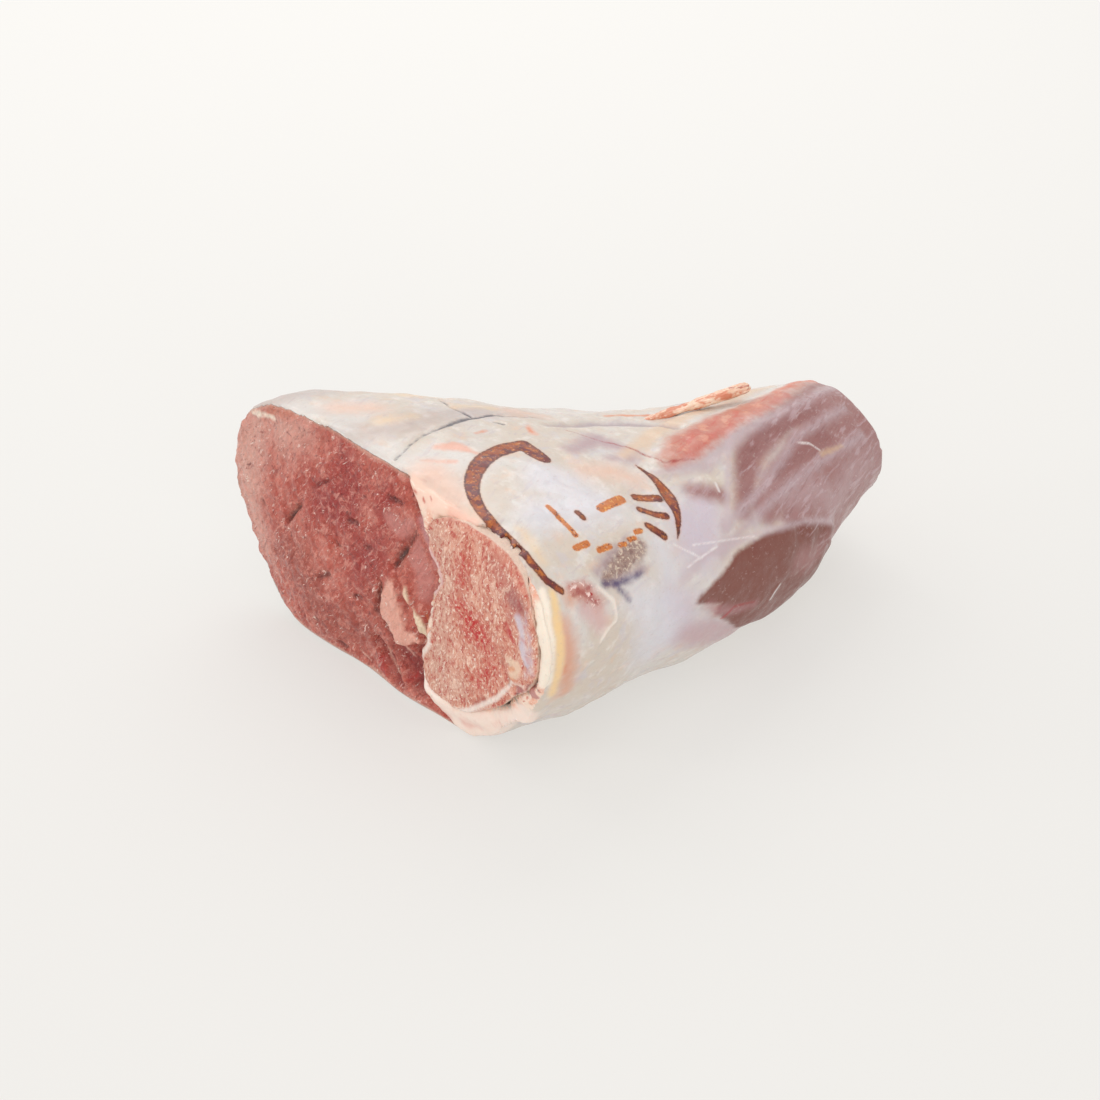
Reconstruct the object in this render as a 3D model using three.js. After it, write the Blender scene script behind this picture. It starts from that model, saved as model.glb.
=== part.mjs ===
// A lamb shank: the lower leg sawn square at the knee and cut again above the hock.
// It lies on its side, as it would on a board. The meat, with the fat and silverskin that grew on it,
// is one piece, and the shank bone runs through it from cut to cut.
//
// Millimetres, +Z up. +X runs from the knee cut towards the hock, and +Y to the back of the leg,
// where the calf muscle is. The origin is under the middle of the bounding box.

import * as THREE from "three";

// Driving dimensions.
const LENGTH = 123; // knee cut to hock cut, along X
const SURFACE_GAP = 0.3; // between the bone and the meat around it
const BONE_PROUD = 1.2; // how far the bone stands out of the shrunken meat at each cut
const BONE_START = -BONE_PROUD;
const BONE_END = LENGTH + BONE_PROUD;
const BONE_HEAD_LENGTH = 30; // the part of the bone that flares towards the knee

// The cut calf muscle swells out past the knee cut, in a low dome with this middle and half-widths.
const KNEE_CUT_SWELL = { height: 3.5, y: 51, z: 32, alongY: 36, alongZ: 27 };

const AROUND = 44; // facets round the meat
const BONE_AROUND = 22; // facets round the bone
const MEAT_STATIONS = 25; // rows of facets along the meat
const BONE_HEAD_STATIONS = 7;
const BONE_SHAFT_STATIONS = 8;
const MEAT_CUT_RINGS = [0, 0.12, 0.28, 0.46, 0.64, 0.8, 0.92]; // across a cut, from the bone outwards
const BONE_CUT_RINGS = [0, 0.55]; // across the bone's end, from its middle outwards

// Cross-sections of the meat. Each is an egg made of four quarter superellipses that meet at
// (midY, midZ): near and far are its reach along Y, top and foot its reach along Z.
// "upper", "inner" and "outer" are the superellipse exponents of the top half, the lower near
// quarter and the lower far quarter: 2 is an ellipse, and more is squarer. What would reach below
// the board is pressed flat on it.
const MEAT_SECTIONS = [
  { x: 0, midY: 32, midZ: 38, near: -24, far: 87, top: 62.5, foot: -8, upper: 2.7, inner: 1.75, outer: 2.3 },
  { x: 18, midY: 28, midZ: 37, near: -24, far: 80, top: 62, foot: -8, upper: 2.5, inner: 1.85, outer: 2.3 },
  { x: 36, midY: 22, midZ: 35, near: -23, far: 67, top: 58, foot: -6, upper: 2.4, inner: 2, outer: 2.2 },
  { x: 55, midY: 15, midZ: 33, near: -22, far: 54, top: 52, foot: -4, upper: 2.2, inner: 2, outer: 2.1 },
  { x: 75, midY: 10, midZ: 30, near: -20, far: 42, top: 47, foot: -1, upper: 2.2, inner: 2, outer: 2 },
  { x: 93, midY: 8, midZ: 28, near: -15.5, far: 35, top: 45, foot: 4, upper: 2.1, inner: 2, outer: 2 },
  { x: 110, midY: 8, midZ: 27, near: -11, far: 30, top: 42.5, foot: 9, upper: 2.1, inner: 2, outer: 2 },
  { x: LENGTH, midY: 8, midZ: 27, near: -8, far: 26, top: 39, foot: 13, upper: 2.1, inner: 2, outer: 2 },
];

// The same for the bone: the spongy head at the knee narrows to the shaft.
const BONE_SECTIONS = [
  { x: BONE_START, midY: 1, midZ: 34, near: -18, far: 19, top: 60, foot: 9, upper: 2.3, inner: 2, outer: 2 },
  { x: 6, midY: 1, midZ: 34, near: -17.5, far: 18.5, top: 58, foot: 10, upper: 2.3, inner: 2, outer: 2 },
  { x: 22, midY: 3, midZ: 34, near: -11, far: 16, top: 50, foot: 18, upper: 2.2, inner: 2, outer: 2 },
  { x: 42, midY: 5, midZ: 35, near: -5, far: 15, top: 46, foot: 25, upper: 2.1, inner: 2, outer: 2 },
  { x: 70, midY: 7, midZ: 33, near: -2.5, far: 16, top: 41, foot: 24.5, upper: 2, inner: 2, outer: 2 },
  { x: 100, midY: 8, midZ: 30, near: -0.5, far: 16.5, top: 37, foot: 23, upper: 2, inner: 2, outer: 2 },
  { x: BONE_END, midY: 8, midZ: 29, near: -1, far: 17, top: 36, foot: 22, upper: 2, inner: 2, outer: 2 },
];

// Swellings and hollows on the meat, as smooth bumps at x and at an angle in degrees from +Y
// towards +Z. "along" and "around" are their half-widths, in mm and degrees, and "height" is in mm.
const MEAT_RELIEF = [
  { name: "calf muscle", x: 84, angle: 215, along: 24, around: 34, height: 2.2 },
  { name: "shin ridge", x: 92, angle: 98, along: 34, around: 20, height: 2.5 },
  { name: "hollow under the knee", x: 34, angle: 205, along: 20, around: 30, height: -0.8 },
];

const FIELDS = ["midY", "midZ", "near", "far", "top", "foot", "upper", "inner", "outer"];

const { clamp, degToRad, lerp, radToDeg } = THREE.MathUtils;

// Smooth sections between the listed ones, by a cubic through each field.
function sectionReader(sections) {
  const places = sections.map((s) => s.x);
  const values = sections.flatMap((s) => FIELDS.map((f) => s[f]));
  const curve = new THREE.CubicInterpolant(places, values, FIELDS.length);
  return (x) => {
    const found = curve.evaluate(clamp(x, places[0], places.at(-1)));
    return Object.fromEntries(FIELDS.map((f, i) => [f, found[i]]));
  };
}

const meatSectionAt = sectionReader(MEAT_SECTIONS);
const boneSectionAt = sectionReader(BONE_SECTIONS);

// How far a section's outline reaches from its middle along (Y, Z), in the direction of an angle.
function outlineReach(section, angle) {
  const c = Math.cos(angle);
  const s = Math.sin(angle);
  const reachY = c > 0 ? section.far - section.midY : section.midY - section.near;
  const reachZ = s > 0 ? section.top - section.midZ : section.midZ - section.foot;
  const lower = c > 0 ? section.outer : section.inner;
  const exponent = s > 0 ? section.upper : lower;
  const soften = (v) => Math.sign(v) * Math.abs(v) ** (2 / exponent);
  return new THREE.Vector2(reachY * soften(c), reachZ * soften(s));
}

// A section's outline grown by a few mm, as a (Y, Z) point.
function outlinePoint(section, angle, growth) {
  const reach = outlineReach(section, angle);
  return reach.setLength(reach.length() + growth).add(new THREE.Vector2(section.midY, section.midZ));
}

function reliefAt(x, angle) {
  let height = 0;
  for (const bump of MEAT_RELIEF) {
    const turn = angle - degToRad(bump.angle);
    const offCentre = radToDeg(Math.atan2(Math.sin(turn), Math.cos(turn)));
    const distance = Math.hypot((x - bump.x) / bump.along, offCentre / bump.around);
    height += bump.height * Math.exp(-distance * distance);
  }
  return height;
}

function kneeCutSwellAt(y, z) {
  const { height, alongY, alongZ } = KNEE_CUT_SWELL;
  const distance = Math.hypot((y - KNEE_CUT_SWELL.y) / alongY, (z - KNEE_CUT_SWELL.z) / alongZ);
  return height * Math.max(0, 1 - distance * distance);
}

// Evenly spaced stations between two ends.
function stationsBetween(from, to, count) {
  return Array.from({ length: count + 1 }, (_, i) => lerp(from, to, i / count));
}

// A blank turned about Y from a closed profile of (radius, x) points, whose vertices "place" then
// moves: it gets each vertex's radius, angle and x, and gives its point in the part's own axes.
function reshapedBlank(profile, around, place) {
  const geometry = new THREE.LatheGeometry(profile, around);
  const position = geometry.getAttribute("position");
  const blankPoint = new THREE.Vector3();
  for (let i = 0; i < position.count; i++) {
    blankPoint.fromBufferAttribute(position, i);
    const radius = Math.hypot(blankPoint.x, blankPoint.z);
    const angle = Math.atan2(blankPoint.x, blankPoint.z);
    position.setXYZ(i, ...place(radius, angle, blankPoint.y));
  }
  geometry.computeVertexNormals();
  return geometry;
}

const boneStations = [
  ...stationsBetween(0, BONE_HEAD_LENGTH, BONE_HEAD_STATIONS),
  ...stationsBetween(BONE_HEAD_LENGTH, LENGTH, BONE_SHAFT_STATIONS).slice(1),
];

// The meat is a sleeve round the bone. In its blank the tunnel for the bone has radius TUNNEL, and
// the outside is a depth of 1 further out.
const TUNNEL = 1;

function meatGeometry() {
  const stations = stationsBetween(0, LENGTH, MEAT_STATIONS);
  const profile = [
    ...MEAT_CUT_RINGS.map((depth) => new THREE.Vector2(TUNNEL + depth, 0)),
    ...stations.map((x) => new THREE.Vector2(TUNNEL + 1, x)),
    ...MEAT_CUT_RINGS.toReversed().map((depth) => new THREE.Vector2(TUNNEL + depth, LENGTH)),
    ...boneStations.slice(0, -1).toReversed().map((x) => new THREE.Vector2(TUNNEL, x)),
  ];
  return reshapedBlank(profile, AROUND, (radius, angle, x) => {
    const depth = radius - TUNNEL;
    const tunnel = outlinePoint(boneSectionAt(x), angle, SURFACE_GAP);
    const outside = outlinePoint(meatSectionAt(x), angle, reliefAt(x, angle));
    outside.y = Math.max(outside.y, 0);
    const [y, z] = tunnel.lerp(outside, depth);
    return [x > 0 ? x : -kneeCutSwellAt(y, z), y, z];
  });
}

function boneGeometry() {
  const profile = [
    ...BONE_CUT_RINGS.map((r) => new THREE.Vector2(r, BONE_START)),
    ...[BONE_START, ...boneStations, BONE_END].map((x) => new THREE.Vector2(1, x)),
    ...BONE_CUT_RINGS.toReversed().map((r) => new THREE.Vector2(r, BONE_END)),
  ];
  return reshapedBlank(profile, BONE_AROUND, (radius, angle, x) => {
    const section = boneSectionAt(x);
    const reach = outlineReach(section, angle).multiplyScalar(radius);
    return [x, section.midY + reach.x, section.midZ + reach.y];
  });
}

const meat = new THREE.Mesh(
  meatGeometry(),
  new THREE.MeshStandardMaterial({ color: 0xd9b3a6, roughness: 0.45, metalness: 0 }),
);
meat.name = "meat";

const bone = new THREE.Mesh(
  boneGeometry(),
  new THREE.MeshStandardMaterial({ color: 0xe3c4b0, roughness: 0.55, metalness: 0 }),
);
bone.name = "shank_bone";

const shank = new THREE.Group();
shank.add(meat, bone);

// Stand the origin under the middle of the bounding box.
const box = new THREE.Box3().setFromObject(shank);
const middle = box.getCenter(new THREE.Vector3());
shank.position.set(-middle.x, -middle.y, -box.min.z);

export default shank;
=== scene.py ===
"""A raw lamb shank lying on its side: muscle under fat and silverskin, round a sawn shank bone.

The meat and the bone start as copies of the solid model, are skinned with a finer mesh and then
shaped and coloured with strokes. A stroke is a list of (x, y, z, radius) in millimetres in the
part's own frame: +X runs to the hock, +Y to the back of the leg and +Z up. A thin stroke on the
skin has only a few points, and the script lays the rest along the surface.
The end of a tendon left on the shin is a piece of its own.
"""

import math

import bpy
import numpy as np
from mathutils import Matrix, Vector, noise
from mathutils.bvhtree import BVHTree


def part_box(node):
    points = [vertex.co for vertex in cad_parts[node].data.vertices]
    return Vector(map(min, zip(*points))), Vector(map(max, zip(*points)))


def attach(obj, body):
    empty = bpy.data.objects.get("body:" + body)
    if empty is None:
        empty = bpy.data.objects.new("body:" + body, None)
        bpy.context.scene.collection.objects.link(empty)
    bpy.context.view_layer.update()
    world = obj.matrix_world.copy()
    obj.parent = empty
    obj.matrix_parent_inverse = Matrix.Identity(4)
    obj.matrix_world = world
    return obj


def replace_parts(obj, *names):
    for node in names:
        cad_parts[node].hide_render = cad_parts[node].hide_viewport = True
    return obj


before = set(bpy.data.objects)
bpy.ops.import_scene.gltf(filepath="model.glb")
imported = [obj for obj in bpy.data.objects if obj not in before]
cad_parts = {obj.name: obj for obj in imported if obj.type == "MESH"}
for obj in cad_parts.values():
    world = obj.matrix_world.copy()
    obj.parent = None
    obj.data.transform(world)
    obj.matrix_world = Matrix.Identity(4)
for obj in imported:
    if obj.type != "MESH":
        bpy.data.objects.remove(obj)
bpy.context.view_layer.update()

MM = 0.001
BONE_LOW, BONE_HIGH = (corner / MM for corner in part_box("shank_bone"))
BONE_PROUD = 1.2
KNEE_X = BONE_LOW.x + BONE_PROUD
HOCK_X = BONE_HIGH.x - BONE_PROUD
BONE_MIDDLE = ((BONE_LOW.y + BONE_HIGH.y) / 2, (BONE_LOW.z + BONE_HIGH.z) / 2)

MEAT_VOXEL = 1.12
BONE_VOXEL = 0.5
SHOW_SIDE = (-0.54, -0.6, 0.59)  # the side whose skin is made twice as fine
CORNER_ROUND = 3.5  # the fat's rounded edge beside the sawn bone
THIN_STROKE = 3  # a stroke thinner than this radius in mm is laid on the skin
LAYING_STEP = 2.5  # mm between the points of a laid stroke
SHEEN = 0.05  # the white that a wet surface adds to its colour


# ---------------------------------------------------------------- tones

def tone(red, green, blue):
    """The base colour that looks like this, 0 to 255, once the wet sheen is added to it."""
    base = []
    for channel in (red, green, blue):
        value = channel / 255
        linear = value / 12.92 if value <= 0.04045 else ((value + 0.055) / 1.055) ** 2.4
        base.append(max(linear - SHEEN * (1 - linear), 0.004))
    return (*base, 1.0)


# ---------------------------------------------------------------- strokes

class Mark:
    """Something seen on the surface: where it is, its colour, and how far it stands up."""

    def __init__(self, name, colour, strokes, soft=1.0, wander=0.5, strength=1.0, rise=0.0, rise_soft=1.5):
        self.name = name
        self.colour = colour
        self.strokes = strokes
        self.soft = soft  # mm over which its edge fades
        self.wander = wander  # mm by which its edge strays
        self.strength = strength
        self.rise = rise  # mm that it stands up
        self.rise_soft = rise_soft


# The skin of the leg: muscle showing through silverskin, fat, and the shin bone's edge.
LEAN_MARKS = [
    Mark("lilac_skin", tone(200, 186, 198), [
        [(-14, -50, 44.5, 4), (-10, -46, 46.5, 6), (-10, -49, 42, 6), (-3, -43, 46.5, 5)],
        [(-24, -53, 38, 3), (-20, -53, 32, 5), (-18, -52, 26, 5)],
    ], soft=5, strength=0.8),
    Mark("lilac_patch", tone(180, 154, 158), [
        [(-20, -18, 57, 2), (-10, -15, 54, 3), (-7, -23, 53, 2)],
        [(-14, -24, 55, 1), (-9, -25, 54, 2)],
    ], soft=2.6, wander=1.2, strength=0.9),
    Mark("lean", tone(156, 113, 111), [
        [(7, -47, 43, 3), (20, -35, 46, 4), (36, -30, 46, 4), (46, -29, 44, 6), (66, -26, 36, 12)],
        [(14, -46, 40, 5), (26, -43, 40, 7), (38, -40, 36, 12), (52, -34, 32, 15), (66, -26, 26, 18)],
        [(20, -49, 36, 4), (32, -47, 30, 8), (44, -42, 22, 13)],
        [(-2, -39, 48, 2), (4, -42, 46, 2.4)],
        [(56, 0, 18, 16), (36, 8, 14, 12), (16, 12, 8, 8)],
        [(60, 20, 28, 12), (36, 30, 26, 10), (12, 40, 24, 8), (-10, 46, 20, 6)],
    ], soft=2.6, wander=0.9, strength=0.95),
    Mark("mauve_low", tone(190, 162, 166), [
        [(-18, -52, 22.5, 3), (-10, -51, 19.5, 4.5), (1.5, -47.5, 12, 5), (10, -47.5, 11, 5),
         (22, -44, 8, 5)],
    ], soft=3, wander=1.0, strength=0.85),
    Mark("lean_deep", tone(132, 86, 84), [
        [(14, -38, 45, 1), (26, -31, 47, 2.8), (46, -29, 44, 2)],
        [(24, -40, 42, 1), (44, -36, 41, 1.5)],
        [(8, -47, 43, 1), (13, -43, 44, 1.5)],
    ], soft=3.0, wander=1.2, strength=0.55),
    Mark("lean_veil", tone(184, 158, 160), [
        [(22, -46, 38.5, 2), (32, -44.5, 35.5, 3.5), (38, -45.5, 29, 3.5), (48, -40.5, 31, 4),
         (60, -35, 28, 4)],
    ], soft=4, wander=1.6, strength=0.65),
    Mark("dark_muscle", tone(126, 78, 70), [
        [(-14, -54, 32, 1.5), (0, -54, 31, 7), (9, -54, 29, 8.5), (20, -52, 28, 7), (36, -48, 24, 1.5)],
        [(-6, -54, 26, 3), (5, -53, 18, 6), (18, -50, 15, 7), (32, -47, 19, 4)],
    ], soft=0.8, wander=0.7, strength=0.97, rise=0.9, rise_soft=2.0),
    Mark("dark_right", tone(162, 120, 118), [
        [(21, -52, 24.5, 3.2), (26, -50.5, 22, 3), (33, -48.5, 23, 1.8)],
    ], soft=2.8, wander=0.9, strength=0.8),
    Mark("pink_veil", tone(172, 126, 128), [
        [(-12, -54, 29.5, 0.9), (-8, -53, 25.6, 1.6), (-3, -53.5, 23, 1.2), (4, -53, 21.2, 0.8)],
    ], soft=1.6, wander=0.9, strength=0.7),
    Mark("fascia", tone(186, 166, 170), [
        [(-7, -32, 52, 1), (6, -34, 49, 2.2), (24, -29, 48, 1.5), (46, -27, 45, 0.9), (63, -22, 40, 1.4)],
        [(56, -31, 41, 1), (36, -35, 44, 0.8), (16, -43, 42, 0.8), (-1, -48, 42, 1.6)],
        [(-5, -52, 40, 1.6), (12, -47, 40, 1), (30, -42, 39, 0.9), (56, -37, 36, 1)],
        [(60, 14, 38, 2), (40, 20, 36, 2), (20, 28, 36, 2.4), (0, 40, 34, 3)],
        [(60, 0, 14, 1.4), (36, 4, 10, 2), (12, 16, 10, 2.4)],
        [(62, 24, 22, 1.2), (40, 36, 24, 1.6), (20, 44, 22, 2.2)],
    ], soft=1.8, wander=0.9, strength=0.8, rise=0.2, rise_soft=1.6),
    Mark("thin_fascia", tone(196, 178, 182), [
        [(20, -28, 49, 0.7), (12, -36, 47, 0.6), (-1, -48, 42, 0.8)],
        [(-18, -53, 40, 2), (-10, -52, 41, 1), (8, -51, 38, 0.6), (24, -50, 33, 0.5), (36, -47, 26, 0.6)],
    ], soft=1.1, wander=0.5, strength=0.75),
    Mark("shin_cream", tone(216, 190, 166), [
        [(-10, -24, 54, 1.2), (-3, -21.5, 52.3, 1.8), (6, -18.5, 50.5, 2), (16, -15.5, 48.6, 1.8),
         (27.5, -14.5, 46.4, 1.6),
         (38, -13.5, 44.4, 1.4), (50.5, -12, 41.4, 1)],
    ], soft=1.6, wander=0.9, strength=0.85, rise=0.3),
    Mark("shin_bone", tone(196, 132, 116), [
        [(-3, -29, 52, 1), (6.5, -27, 51, 4.4), (14.5, -25, 50, 4.2), (24, -23, 48.5, 3.6),
         (33, -22, 47, 3),
         (41, -21.2, 46, 2.6), (52.5, -18, 42.8, 2.2), (63, -14.5, 39, 2)],
    ], soft=2.0, wander=1.3, strength=0.95, rise=0.7, rise_soft=3),
    Mark("shin_red", tone(192, 92, 80), [
        [(-3.5, -31, 51.2, 0.5), (4.5, -30.6, 50.1, 1.4), (13.5, -28.3, 49.5, 1.2),
         (23.5, -26, 48.4, 0.8), (33.5, -25, 47, 0.7),
         (44.5, -23, 45.3, 0.7)],
        [(8, -26, 50.6, 0.8), (14, -24, 49.8, 1), (20, -23, 49, 0.5)],
    ], soft=2.0, wander=1.2, strength=0.65),
    Mark("shin_tip", tone(208, 100, 58), [
        [(44, -19.5, 44.8, 0.3), (52, -16.5, 42.2, 0.9), (58, -16, 40.5, 1.3), (63, -15, 39, 1.4)],
    ], soft=1.5, wander=0.9, strength=0.75),
]

FAT_MARKS = [
    Mark("grey_veil", tone(184, 168, 162), [
        [(-56, 12, 62.5, 3), (-46, 9, 61.8, 4), (-36, 9, 59.5, 4), (-26, 9, 56.5, 4), (-14, 4, 54, 3)],
        [(-56, 44, 54, 8), (-36, 40, 52, 10)],
    ], soft=5, wander=1.6, strength=0.75),
    Mark("peach_fat", tone(226, 188, 168), [
        [(-24, -26, 57, 2), (-17.5, -28.5, 55, 3.2), (-14.5, -32, 53.5, 2.6)],
        [(-56, -10, 62, 5), (-57, -20, 60, 3.5)],
        [(-52, 26, 60, 3), (-46, 20, 61, 2)],
        [(-17.5, 6, 54.4, 1.6), (-12, 1, 53.6, 1)],
    ], soft=4.5, wander=1.2, strength=0.8),
    Mark("blue_white", tone(214, 212, 220), [
        [(-34, -26, 59.5, 6), (-30, -36, 56.5, 6), (-44, -34, 59, 5)],
        [(-34, -54, 42, 4), (-28, -54, 34, 7), (-26, -53, 24, 7)],
        [(-22, -48.5, 47.5, 3), (-22, -51, 43, 4)],
    ], soft=5, strength=0.7),
    Mark("yellow_stain", tone(232, 200, 158), [
        [(-50, 14, 62.5, 1.2), (-42, 12, 61.8, 0.8)],
        [(-29, 13, 57.5, 1.5), (-20, 9, 55.5, 1)],
        [(-34, 26, 56, 1.8), (-24, 22, 54, 1)],
        [(-52, -36, 59.5, 1), (-54, -44, 56.5, 1.6)],
    ], soft=2.4, wander=1.6, strength=0.6),
    Mark("salmon", tone(226, 172, 152), [
        [(-47, -3, 62, 1.2), (-44, -5, 62, 2), (-42, -10, 62, 0.5)],
        [(-54, -5, 62, 0.3), (-48, -10, 62, 0.5)],
        [(-23, -8, 57, 0.8), (-21, -4, 57, 0.5)],
    ], soft=0.9, wander=0.7, strength=0.85),
    Mark("orange_fleck", tone(216, 122, 76), [
        [(-35, -2, 60, 0.3), (-32, -2, 60, 0.3)],
        [(-23, -7, 57, 0.3), (-22, -5, 57, 0.3)],
        [(4, -3, 49, 0.3), (11, -6, 47, 0.9), (19, -10, 46, 0.3)],
        [(-56, -55, 35, 0.5), (-56, -55, 33, 0.5)],
    ], soft=0.7, wander=0.8, strength=0.8),
    Mark("orange_fat", tone(212, 150, 122), [
        [(-56, -54, 46, 1.6), (-55.5, -55, 41, 2.2), (-55, -55.5, 33, 2.6), (-53, -54, 24, 2)],
        [(-52, -52, 50, 1.6), (-48.5, -52, 50, 1)],
    ], soft=2.6, wander=1.2, strength=0.8),
    Mark("yellow_fat", tone(238, 204, 152), [
        [(-56.5, -50.5, 52, 1), (-57.3, -53, 48.5, 1.2), (-57.9, -55, 43, 1.3), (-57.9, -55, 33, 1.2),
         (-57, -53.5, 25, 1)],
    ], soft=1.1, wander=0.6, strength=0.9),
    Mark("ligament", tone(238, 226, 210), [
        [(-59, -49.5, 53, 0.9), (-60, -52.5, 49, 1.5), (-60.3, -54, 44, 1.7), (-60.3, -54, 38, 1.6),
         (-60.3, -54, 31, 1.3)],
    ], soft=0.6, wander=0.35, strength=0.95, rise=0.5),
    Mark("mauve_hollow", tone(206, 170, 168), [
        [(-49, -54, 46.5, 1.8), (-46, -55, 44, 2.8), (-45, -55.5, 41, 2)],
    ], soft=2.0, wander=0.8, strength=0.75, rise=-0.6, rise_soft=2.5),
    Mark("bruise", tone(188, 126, 116), [
        [(-51, -51, 52, 1), (-47, -52, 49, 2.2), (-45, -53, 46, 1.4)],
    ], soft=1.6, wander=1.8, strength=0.8),
    Mark("bruise_lines", tone(150, 48, 48), [
        [(-51, -52, 50, 0.3), (-45, -52, 50, 0.3)],
        [(-49, -52, 51, 0.3), (-45, -54, 46, 0.3)],
    ], soft=0.7, wander=0.9, strength=0.75, rise=-0.2),
    Mark("rough_mauve", tone(166, 144, 148), [
        [(-42, -50, 51, 1), (-35, -48, 52, 1.4), (-30, -47, 51, 1)],
        [(-40, -52, 48, 1), (-30, -52, 47, 1)],
    ], soft=1.6, wander=1.4, strength=0.8),
    Mark("rough_dark", tone(148, 118, 108), [
        [(-40, -51, 49, 1.5), (-34, -50, 50, 2.8), (-28, -48, 50, 2.2)],
    ], soft=1.4, wander=1.8, strength=0.8),
    Mark("blue_vein", tone(84, 74, 110), [
        [(-42, -52, 49, 0.4), (-38, -52, 47, 1), (-31, -52, 46, 0.4)],
        [(-38, -53, 46, 0.7), (-36, -54, 42, 0.3)],
    ], soft=1.0, wander=1.0, strength=0.85, rise=-0.2),
    Mark("ring_thread", tone(236, 224, 214), [
        [(-44, -52, 49, 0.3), (-41, -54, 45, 0.4), (-41, -55, 40, 0.4), (-46, -55, 37, 0.3)],
    ], soft=0.45, wander=0.4, strength=0.8, rise=0.25, rise_soft=0.8),
    Mark("white_thread", tone(240, 234, 232), [
        [(35, -36, 43, 0.15), (38, -37, 42, 0.3), (40, -39, 40, 0.1)],
        [(-18, -49, 46, 0.1), (-12, -52, 41, 0.2)],
        [(-17, -52, 41, 0.1), (-6, -51, 41, 0.2)],
        [(-13, -50, 44, 0.1), (6, -51, 38, 0.1)],
        [(10, -53, 19, 0.3), (13, -53, 22, 0.3)],
        [(5, -39, 47, 0.3), (4, -41, 46, 0.3)],
    ], soft=0.4, wander=0.25, strength=0.8, rise=0.15, rise_soft=0.6),
    Mark("yellow_specks", tone(206, 172, 136), [
        [(40, -40, 40, 0.5), (47, -39, 38, 0.4)],
    ], soft=0.8, wander=1.0, strength=0.6),
    Mark("red_line", tone(160, 62, 58), [
        [(-14, -9, 54, 0.1), (-8, -18, 54, 0.25), (-3, -30, 52, 0.3), (5, -32, 50, 0.15)],
        [(-6, -53, 22, 0.5), (-3, -54, 24, 0.4), (4, -54, 22, 0.2)],
        [(-60, -6, 62, 0.2), (-59, -11, 62, 0.25)],
    ], soft=0.4, wander=0.35, strength=0.8),
    # The grey along this pressed groove is painted shade.
    Mark("groove_shade", tone(160, 140, 148), [
        [(-16, -5, 55, 0.3), (-4, -6, 51, 1.2), (5, -10, 49, 1.4), (13, -19, 50, 0.4)],
    ], soft=1.8, wander=0.9, strength=0.75, rise=-0.7, rise_soft=2.2),
    # The dark blue-grey along the creases is painted shade; the creases are also pressed in.
    Mark("crease_shade", tone(62, 52, 78), [
        [(-58, 0, 62, 0.1), (-48, 3, 62, 0.15), (-40, 4, 61, 0.4), (-32, 5, 59, 0.6), (-24, 5, 57, 0.4)],
        [(-30, 5, 58, 0.35), (-30, 13, 57, 0.2), (-28, 19, 56, 0.1)],
        [(-27, 1, 58, 0.3), (-26, -1, 58, 0.3)],
        [(-24, 5, 57, 0.2), (-14, -1, 54, 0.1)],
    ], soft=0.4, wander=0.6, strength=0.8, rise=-0.5, rise_soft=0.9),
]

# A burnt mark such as an inspector leaves: two arcs of a plain oval ring seen from above, with
# a few dashes and bars inside it. Dashes on the ring are (angle, length, radius), in degrees and mm.
RING_MIDDLE = (-33, -33)
RING_HALF = (24, 21.5)
ARC_STEPS = 12
BAR_END = 0.88  # shares of the ring's size, at which the bars end and the dashes lie
DASH_SHARE = 0.65
RADIAL_BARS = [(-18, 6, 1.1), (-34, 6, 1), (-50, 4, 1)]
SMALL_DASHES = [(-62, 1.5, 0.7), (-74, 1.5, 0.6), (-86, 1.5, 0.6), (-104, 3, 0.8), (-124, 3, 0.9)]

# The bone's sawn face as (angle in degrees from +Y to +Z, reach in mm), waisted on the muscle side.
BONE_FACE_REACH = [
    (0, 13.5), (35, 12.5), (52, 25), (64, 26), (100, 25.5), (150, 23), (190, 20),
    (225, 17.5), (260, 21), (300, 31), (315, 26), (330, 16), (360, 13.5),
]

# Where the cut muscle gives way to bone and fat, as (z, y): the muscle is at larger y.
MUSCLE_EDGE = [(0, -25), (6, -14), (14, -12), (30, -15.5), (43, -19), (52, -15), (58, -10), (62, -6)]

# Places where the skin is drawn out or pressed in: middle, reach and move in mm.
NUDGES = [
    ((-60, -44, 56), 14, (0, -1.1, 1.4)),
    ((-62, 28, 8), 30, (-3.0, 0, 0)),
    ((-60, -4, 4), 18, (-1.6, 0, 0)),
    ((-60, 54, 34), 22, (-0.8, 1.0, 0)),
    ((-52, 42, 58), 18, (-0.4, 0, 1.6)),
    ((-44, -46, 8), 24, (0, -1.4, -0.6)),
    ((-8, -46, 10), 26, (0, -1.6, -0.8)),
    ((28, -42, 14), 20, (0, -1.2, -0.6)),
    ((61, -6, 39), 10, (-0.6, 0, -1.2)),
]

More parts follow.
